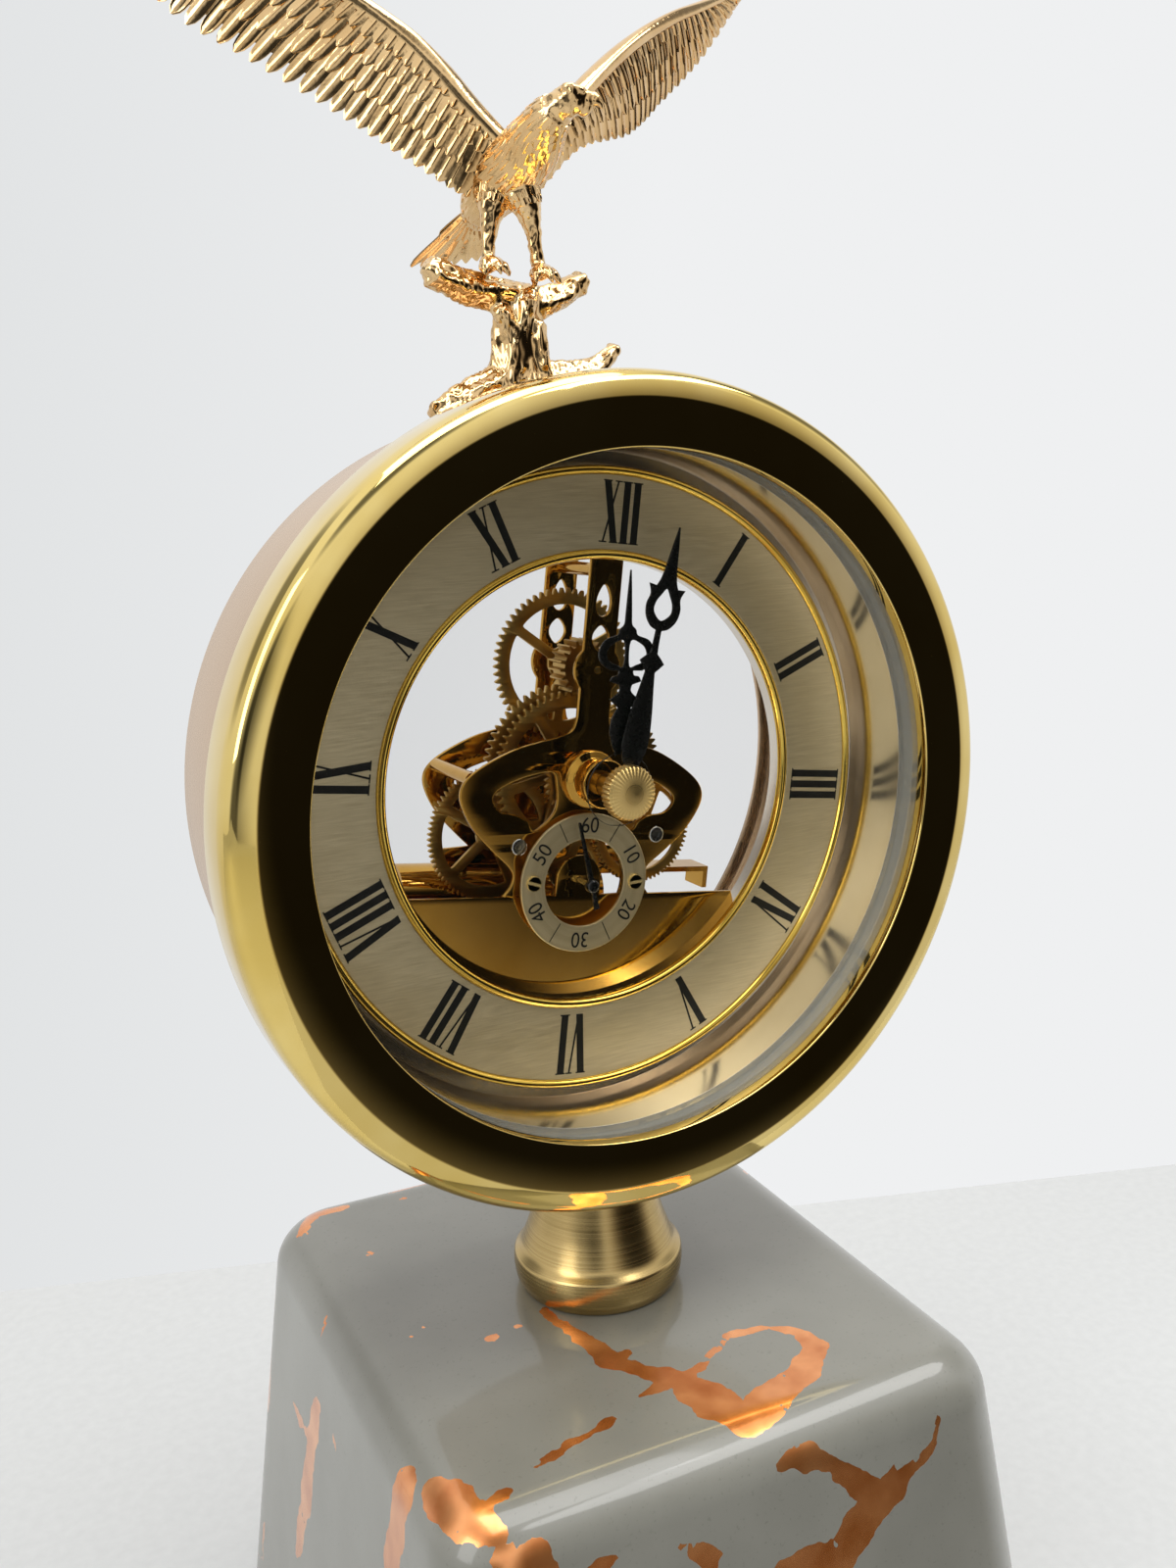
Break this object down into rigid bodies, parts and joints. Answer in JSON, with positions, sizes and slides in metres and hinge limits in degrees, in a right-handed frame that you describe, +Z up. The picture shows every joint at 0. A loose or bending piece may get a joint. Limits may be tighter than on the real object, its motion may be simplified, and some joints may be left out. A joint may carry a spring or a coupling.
{
  "type": "skeleton table clock",
  "caption": "Table clock with an open gold movement in a round see-through case on a turned foot and a glazed ceramic block, topped by a cast eagle on a stump.",
  "frame": {"origin": "centre of the pedestal axis on the underside of the base pad, which rests on the table", "axes": "+Z up, the dial faces -Y, +X to the right of someone who looks at the dial"},
  "size_m": [0.2, 0.1892, 0.487],
  "materials": {
    "glaze": "glossy grey glaze with copper runs on ceramic",
    "felt": "black felt",
    "turned_brass": "satin turned",
    "steel": "bright steel",
    "polished_brass": "mirror polished",
    "rose_gold": "polished pale rose gold plate",
    "clear_glass": "clear mineral glass",
    "clear_plastic": "clear soft plastic",
    "dial_gold": "brushed champagne gold",
    "plate_gold": "mirror gold plate",
    "wheel_gold": "gold plate",
    "black_hand": "satin black",
    "black_plastic": "matte black",
    "copper_wire": "enamelled copper wire",
    "green_board": "lacquered board",
    "battery_sleeve": "plain printed sleeve",
    "eagle_gold": "rose gold plated casting"
  },
  "bodies": {
    "stand": {"ceramic_base": "glaze", "base_pad": "felt", "pedestal": "turned_brass", "pedestal_stud": "steel", "pedestal_washer": "steel", "pedestal_nut": "steel", "case_drum": "rose_gold", "case_liner": "polished_brass", "front_bezel": "polished_brass", "front_glass": "clear_glass", "glass_gasket": "clear_plastic", "dial_ring": "dial_gold", "inner_bead": "polished_brass", "outer_bead": "polished_brass", "dial_carrier": "rose_gold", "front_plate": "plate_gold", "rear_plate": "plate_gold", "plate_pillars": "plate_gold", "centre_bush": "turned_brass", "arbor_bearings": "steel", "second_ring": "dial_gold", "second_ring_posts": "plate_gold", "second_ring_screws": "polished_brass", "minute_post": "steel", "battery_housing": "black_plastic", "battery": "battery_sleeve", "battery_contacts": "steel", "battery_cap": "black_plastic", "drive_module": "black_plastic", "drive_coil": "copper_wire", "circuit_board": "green_board", "perch_stump": "eagle_gold", "perch_screws": "steel", "eagle_body": "eagle_gold", "eagle_left_wing": "eagle_gold", "eagle_right_wing": "eagle_gold", "eagle_tail": "eagle_gold"},
    "rear_lid": {"rear_cover": "rose_gold", "rear_glass": "clear_glass"},
    "second_group": {"second_wheel": "wheel_gold", "second_arbor": "steel", "second_hand": "black_hand"},
    "drive_group": {"drive_wheel": "wheel_gold", "drive_arbor": "steel"},
    "third_group": {"third_wheel": "wheel_gold", "third_arbor": "steel"},
    "minute_group": {"great_wheel": "wheel_gold", "centre_wheel": "wheel_gold", "minute_arbor": "steel", "minute_hand": "black_hand", "hand_nut": "turned_brass", "setting_knob": "turned_brass"},
    "upper_group": {"upper_wheel": "wheel_gold", "upper_arbor": "steel"},
    "motion_group": {"minute_wheel": "wheel_gold"},
    "hour_group": {"hour_wheel": "wheel_gold", "hour_hand": "black_hand"}
  },
  "joints": [
    {"name": "second_spin", "type": "hinge", "parent": "stand", "child": "second_group", "pos_m": [-0.00362, 0.0037, 0.23925], "axis": [0, 1, 0], "continuous": true},
    {"name": "drive_spin", "type": "hinge", "parent": "stand", "child": "drive_group", "pos_m": [0.01927, 0.0037, 0.24765], "axis": [0, 1, 0], "continuous": true},
    {"name": "third_spin", "type": "hinge", "parent": "stand", "child": "third_group", "pos_m": [-0.01986, 0.0127, 0.25012], "axis": [0, 1, 0], "continuous": true},
    {"name": "minute_spin", "type": "hinge", "parent": "stand", "child": "minute_group", "pos_m": [0, 0.0067, 0.265], "axis": [0, 1, 0], "continuous": true},
    {"name": "upper_spin", "type": "hinge", "parent": "stand", "child": "upper_group", "pos_m": [0.00381, 0.0157, 0.29213], "axis": [0, 1, 0], "continuous": true},
    {"name": "motion_spin", "type": "hinge", "parent": "stand", "child": "motion_group", "pos_m": [0.01265, 0.0007, 0.26878], "axis": [0, 1, 0], "continuous": true},
    {"name": "hour_spin", "type": "hinge", "parent": "stand", "child": "hour_group", "pos_m": [0, -0.0016, 0.265], "axis": [0, 1, 0], "continuous": true},
    {"name": "rear_cover_pull", "type": "slide", "parent": "stand", "child": "rear_lid", "axis": [0, 1, 0], "range_m": [0, 0.03]}
  ],
  "couplings": [
    {"joint": "drive_spin", "follows": "second_spin", "ratio": -0.73529},
    {"joint": "third_spin", "follows": "second_spin", "ratio": -0.13333},
    {"joint": "minute_spin", "follows": "second_spin", "ratio": 0.016667},
    {"joint": "upper_spin", "follows": "second_spin", "ratio": -0.05},
    {"joint": "motion_spin", "follows": "second_spin", "ratio": -0.0055556},
    {"joint": "hour_spin", "follows": "second_spin", "ratio": 0.0013889}
  ]
}
